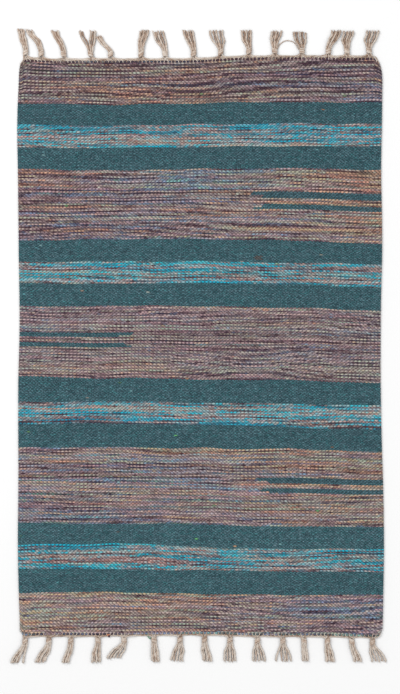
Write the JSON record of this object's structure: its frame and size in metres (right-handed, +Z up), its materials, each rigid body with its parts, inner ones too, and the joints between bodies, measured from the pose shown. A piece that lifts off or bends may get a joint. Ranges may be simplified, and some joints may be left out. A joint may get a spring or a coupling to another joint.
{
  "type": "kilim rug",
  "caption": "Flat hand-woven rectangular rug with cross bands of plain and mottled yarn and a knotted tassel fringe at both ends.",
  "frame": {"origin": "middle of the underside, on the surface that the rug lies on", "axes": "+X across the rug along the wefts, +Y along the rug along the warps, +Z up"},
  "size_m": [0.6174, 1.0464, 0.0064],
  "materials": {
    "woven_cloth": "weft-faced cotton plain weave, solid slate-teal bands between mauve and turquoise melange bands, matt",
    "bare_warp": "unwoven cream cotton warp yarn gathered along the end, matt",
    "tassel_yarn": "cream plied cotton warp yarn, knotted and cut, matt"
  },
  "bodies": {
    "root": {"cloth": "woven_cloth", "heading_top": "bare_warp", "heading_bottom": "bare_warp", "tassel_top_01": "tassel_yarn", "tassel_top_02": "tassel_yarn", "tassel_top_03": "tassel_yarn", "tassel_top_04": "tassel_yarn", "tassel_top_05": "tassel_yarn", "tassel_top_06": "tassel_yarn", "tassel_top_07": "tassel_yarn", "tassel_top_08": "tassel_yarn", "tassel_top_09": "tassel_yarn", "tassel_top_10": "tassel_yarn", "tassel_top_11": "tassel_yarn", "tassel_top_12": "tassel_yarn", "tassel_top_13": "tassel_yarn", "tassel_top_14": "tassel_yarn", "tassel_top_15": "tassel_yarn", "tassel_bottom_01": "tassel_yarn", "tassel_bottom_02": "tassel_yarn", "tassel_bottom_03": "tassel_yarn", "tassel_bottom_04": "tassel_yarn", "tassel_bottom_05": "tassel_yarn", "tassel_bottom_06": "tassel_yarn", "tassel_bottom_07": "tassel_yarn", "tassel_bottom_08": "tassel_yarn", "tassel_bottom_09": "tassel_yarn", "tassel_bottom_10": "tassel_yarn", "tassel_bottom_11": "tassel_yarn", "tassel_bottom_12": "tassel_yarn", "tassel_bottom_13": "tassel_yarn", "tassel_bottom_14": "tassel_yarn", "tassel_bottom_15": "tassel_yarn"}
  },
  "joints": []
}
